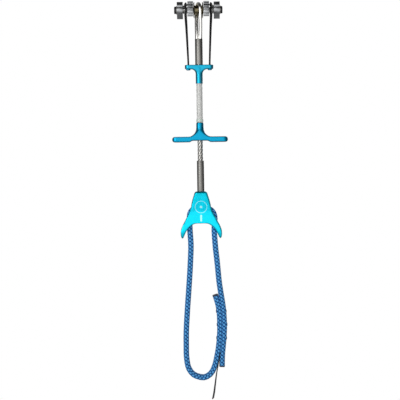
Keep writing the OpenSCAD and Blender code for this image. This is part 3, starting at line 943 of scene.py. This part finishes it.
class CLIMBCAM_OT_head(Operator):
    """Axle with its caps and washers, the spool and the wire loop over it"""
    bl_idname = "climbcam.head"
    bl_label = "Head"

    def execute(self, context):
        axle = steel("Axle steel", colours().steel, 0.3)
        black = cast("Black oxide", (0.02, 0.02, 0.023), 0.38, metallic=0.6, wear=0.5)
        bevelled_piece("axle", "stem", axle)
        bevelled_piece("axle_washers", "stem", axle, 0.08)
        for side in SIDES:
            bevelled_piece("axle_cap_" + side, "stem", black, 0.3, 3)
        bronze = cast("Bronze", colours().bronze, 0.2, wear=0.3, strength=0.1)
        bevelled_piece("spool", "stem", bronze)
        bright = cast("Polished wire", (0.97, 0.96, 0.93), 0.24, grain=2500.0, wear=0.0, strength=0.01,
                      blotch=0.04)
        swept_piece("wire_loop", [loop_line()], round_section(LOOP_WIRE_R, 20), "stem", "bright_wire", bright,
                    ["head_loop"], (1, 0, 0))
        return {"FINISHED"}


class CLIMBCAM_OT_lobes(Operator):
    """Four toothed lobes and their cord posts"""
    bl_idname = "climbcam.lobes"
    bl_label = "Lobes"

    def execute(self, context):
        alloy = cast("Lobe alloy", colours().alloy, 0.36, wear=0.7)
        post = steel("Post steel", colours().steel, 0.3)
        for facing in ("inner", "outer"):
            for side in SIDES:
                body = f"lobe_{facing}_{side}"
                bevelled_piece(body, body, alloy, 0.14)
                bevelled_piece(f"post_{facing}_{side}", body, post, 0.08)
        return {"FINISHED"}


class CLIMBCAM_OT_springs(Operator):
    """Torsion springs that open the lobes"""
    bl_idname = "climbcam.springs"
    bl_label = "Springs"

    def execute(self, context):
        wire = steel("Spring wire", (0.55, 0.55, 0.54), 0.25)
        for side in SIDES:
            swept_piece("coil_" + side, [spring_line(side)], round_section(SPRING_WIRE_R, 10), "stem",
                        "spring_steel", wire, ["spring_" + side], (1, 0, 0))
        return {"FINISHED"}


class CLIMBCAM_OT_ferrules(Operator):
    """Swaged steel ferrules on the stem"""
    bl_idname = "climbcam.ferrules"
    bl_label = "Ferrules"

    def execute(self, context):
        swaged = steel("Swaged steel", colours().steel, 0.38, lines=0.8)
        bevelled_piece("upper_ferrule", "stem", swaged, 0.25, 3)
        bevelled_piece("lower_ferrule", "handle", swaged, 0.25, 3)
        return {"FINISHED"}


class CLIMBCAM_OT_cords(Operator):
    """Braided trigger cords from the collar to the lobes"""
    bl_idname = "climbcam.cords"
    bl_label = "Trigger cords"

    def execute(self, context):
        # The braid's two colours give painted shade between its tufts and a painted highlight on them
        braid = yarn("Black braid", (0.002, 0.002, 0.0025), (0.012, 0.012, 0.014), sheen=0.03,
                     roughness=0.75)
        for name, facing in (("inner", 1), ("outer", -1)):
            for side in SIDES:
                swept_piece(f"braid_{name}_{side}", [cord_line(side, facing)], round_section(CORD_R, 12),
                            "trigger", "black_cord", braid, [f"cord_{name}_{side}"], (1, 0, 0),
                            tufts=(6, 1.1), relief=0.05)
        return {"FINISHED"}


class CLIMBCAM_OT_trigger(Operator):
    """Collar with its stops, clear sleeve with its ring and stop, and the trigger bar"""
    bl_idname = "climbcam.trigger"
    bl_label = "Trigger"

    def execute(self, context):
        s, c = sizes(), colours()
        collar = anodised("Collar dye", c.collar)
        softened_piece("collar", "trigger", collar, s.trigger_voxel, 34)
        bevelled_piece("cord_stops", "trigger", collar, 0.15)
        softened_piece("trigger_bar", "trigger", anodised("Trigger dye", c.trigger),
                       s.trigger_voxel, 80)
        clear = clear_tube("Clear sleeve", (0.98, 0.99, 0.97), 0.5)
        bevelled_piece("sleeve", "trigger", clear, 0.04)
        pale = clear_tube("Pale ring", (0.75, 0.85, 0.78), 0.85)
        bevelled_piece("sleeve_ring", "trigger", pale, 0.1)
        bevelled_piece("sleeve_stop", "trigger", steel("Stop steel", c.steel, 0.3), 0.1)
        return {"FINISHED"}


class CLIMBCAM_OT_press(Operator):
    """Thumb press that the sling runs over"""
    bl_idname = "climbcam.press"
    bl_label = "Thumb press"

    def execute(self, context):
        dyed = anodised("Press dye", colours().press, marking=True)
        softened_piece("thumb_press", "handle", dyed, sizes().press_voxel, 24)
        return {"FINISHED"}


OPERATORS = [
    CLIMBCAM_OT_stage, CLIMBCAM_OT_sling, CLIMBCAM_OT_rope, CLIMBCAM_OT_head, CLIMBCAM_OT_lobes,
    CLIMBCAM_OT_springs, CLIMBCAM_OT_ferrules, CLIMBCAM_OT_cords, CLIMBCAM_OT_trigger, CLIMBCAM_OT_press,
]


class CLIMBCAM_PT_panel(Panel):
    """Lists the cam's sizes, colours and steps"""
    bl_idname = "CLIMBCAM_PT_panel"
    bl_label = "Climbing Cam"
    bl_space_type = "VIEW_3D"
    bl_region_type = "UI"
    bl_category = "Climbing Cam"

    def draw(self, context):
        for group in (context.scene.cam_sizes, context.scene.cam_colours):
            box = self.layout.box()
            for name in group.__annotations__:
                box.prop(group, name)
        for each in OPERATORS:
            self.layout.operator(each.bl_idname)


CLASSES = [CamSizes, CamColours, *OPERATORS, CLIMBCAM_PT_panel]


def register():
    for each in CLASSES:
        bpy.utils.register_class(each)
    bpy.types.Scene.cam_sizes = PointerProperty(type=CamSizes)
    bpy.types.Scene.cam_colours = PointerProperty(type=CamColours)


def unregister():
    del bpy.types.Scene.cam_colours
    del bpy.types.Scene.cam_sizes
    for each in reversed(CLASSES):
        bpy.utils.unregister_class(each)


def main():
    register()
    for each in OPERATORS:
        getattr(bpy.ops.climbcam, each.bl_idname.split(".")[1])()


if __name__ == "__main__":
    main()
